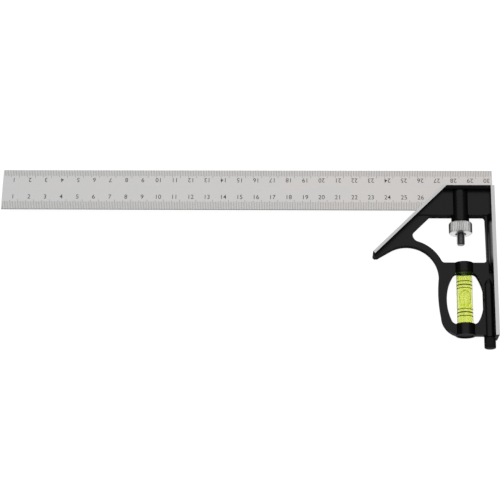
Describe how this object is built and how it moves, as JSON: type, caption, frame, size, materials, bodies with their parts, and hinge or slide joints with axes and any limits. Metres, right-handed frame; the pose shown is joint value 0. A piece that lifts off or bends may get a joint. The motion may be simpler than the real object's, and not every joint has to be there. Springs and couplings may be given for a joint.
{
  "type": "combination square",
  "caption": "Combination square: steel rule sliding in a cast 45 and 90 degree head, with clamp nut, spirit vial and scriber.",
  "frame": {"origin": "the square corner: the rule's lower edge (seat of the head's slot) at the head's square face, half way through the rule's thickness", "axes": "+X out of the square face along the rule, +Y across the rule out of the slot's open edge, +Z out of the front, where the tool lies on its back"},
  "size_m": [0.3004, 0.111, 0.014],
  "materials": {
    "head_paint": "gloss black over a zinc die-casting, bare ground edges",
    "rule_steel": "satin",
    "bolt_steel": "dark oxide",
    "spring_steel": "drawn wire",
    "nut_steel": "straight knurl, bright",
    "vial_acrylic": "clear yellow-green acrylic",
    "vial_spirit": "yellow-green liquid",
    "stopper_plastic": "dark green",
    "bedding": "soft pad",
    "plug_plastic": "black",
    "sleeve_brass": "turned",
    "needle_steel": "hardened, ground point",
    "knob_plastic": "black, fine ribs"
  },
  "bodies": {
    "head": {"head_casting": "head_paint", "vial_tube": "vial_acrylic", "vial_liquid": "vial_spirit", "vial_stopper": "stopper_plastic", "vial_bedding": "bedding", "vial_bore_plug": "plug_plastic", "scriber_sleeve": "sleeve_brass"},
    "blade": {"rule": "rule_steel"},
    "bolt": {"lock_bolt": "bolt_steel"},
    "spring": {"lock_spring": "spring_steel"},
    "nut": {"clamp_nut": "nut_steel"},
    "scriber": {"scriber_needle": "needle_steel", "scriber_knob": "knob_plastic"}
  },
  "joints": [
    {"name": "rule_slide", "type": "slide", "parent": "head", "child": "blade", "axis": [1, 0, 0], "range_m": [-0.014, 0.262]},
    {"name": "bolt_lift", "type": "slide", "parent": "head", "child": "bolt", "axis": [0, 1, 0], "range_m": [0, 0.00045], "stiffness_N_per_m": 1000, "springref_m": -0.001, "deforming": ["lock_spring"]},
    {"name": "nut_travel", "type": "slide", "parent": "bolt", "child": "spring", "axis": [0, -1, 0], "range_m": [0, 0.0016], "deforming": ["lock_spring"]},
    {"name": "nut_turn", "type": "hinge", "parent": "spring", "child": "nut", "pos_m": [-0.0203, -0.0117, 0], "axis": [0, -1, 0], "range_deg": [0, 722]},
    {"name": "scriber_pull", "type": "slide", "parent": "head", "child": "scriber", "axis": [0, -1, 0], "range_m": [0, 0.044]}
  ],
  "couplings": [
    {"joint": "nut_turn", "follows": "nut_travel", "rad_per_m": 7854}
  ]
}
